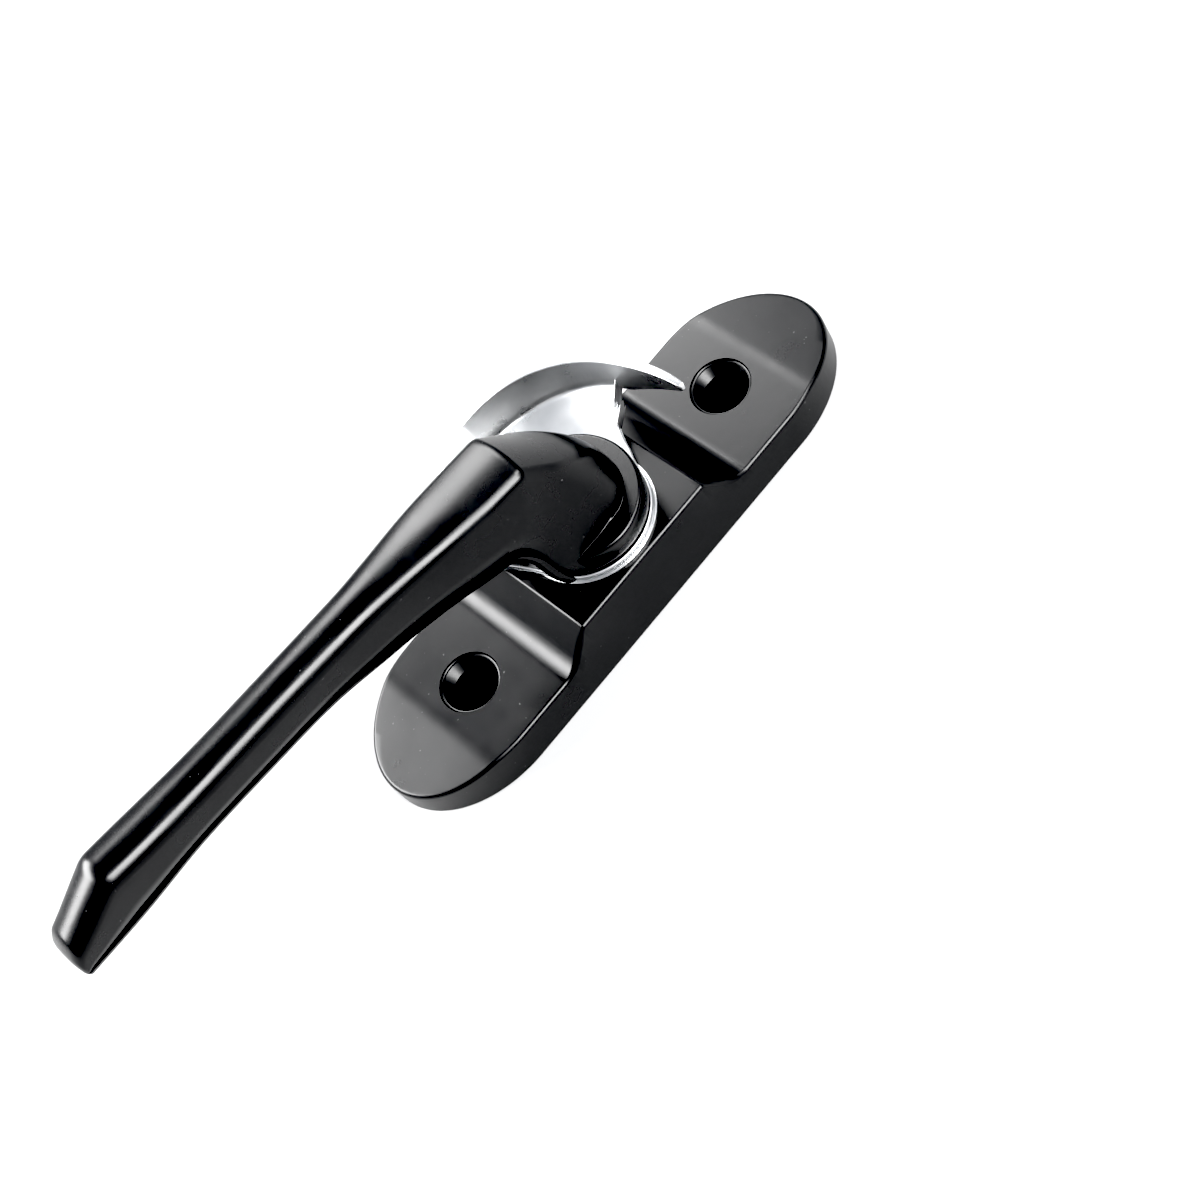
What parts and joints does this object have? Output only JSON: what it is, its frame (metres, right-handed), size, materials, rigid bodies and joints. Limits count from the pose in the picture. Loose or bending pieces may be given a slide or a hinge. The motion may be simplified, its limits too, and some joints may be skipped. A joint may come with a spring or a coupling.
{
  "type": "crescent sash lock",
  "caption": "Crescent lock for a sliding window: die-cast base plate, plated crescent cam and cranked lever turning on one spindle.",
  "frame": {"origin": "where the pivot axis meets the face that lies on the window", "axes": "+Z out of the window along the pivot axis, +X along the base away from the closed lever, +Y across the base towards the keeper"},
  "size_m": [0.1207, 0.0287, 0.0418],
  "materials": {
    "black_paint": "satin black paint on die-cast zinc",
    "bright_plating": "bright plated die-cast zinc",
    "zinc_plated_steel": "zinc plated",
    "spring_steel": "oiled spring steel",
    "brass": "turned",
    "nylon": "moulded, matt"
  },
  "bodies": {
    "base": {"base_housing": "black_paint", "pivot_bush": "brass", "cam_thrust_washer": "nylon", "cam_shim": "bright_plating", "detent_spring_front": "spring_steel", "detent_spring_rear": "spring_steel", "retainer_plate": "zinc_plated_steel", "retainer_screw_left": "zinc_plated_steel", "retainer_screw_right": "zinc_plated_steel", "stop_pin": "zinc_plated_steel"},
    "turning_lever": {"crescent_cam": "bright_plating", "handle_lever": "black_paint", "spindle": "zinc_plated_steel", "detent_plate": "zinc_plated_steel", "stop_plate": "zinc_plated_steel", "disc_spring": "spring_steel", "flat_washer": "zinc_plated_steel", "hex_nut": "zinc_plated_steel"}
  },
  "joints": [
    {"name": "lever_turn", "type": "hinge", "parent": "base", "child": "turning_lever", "pos_m": [0, 0, 0.012], "axis": [0, 0, 1], "range_deg": [0, 180]}
  ]
}
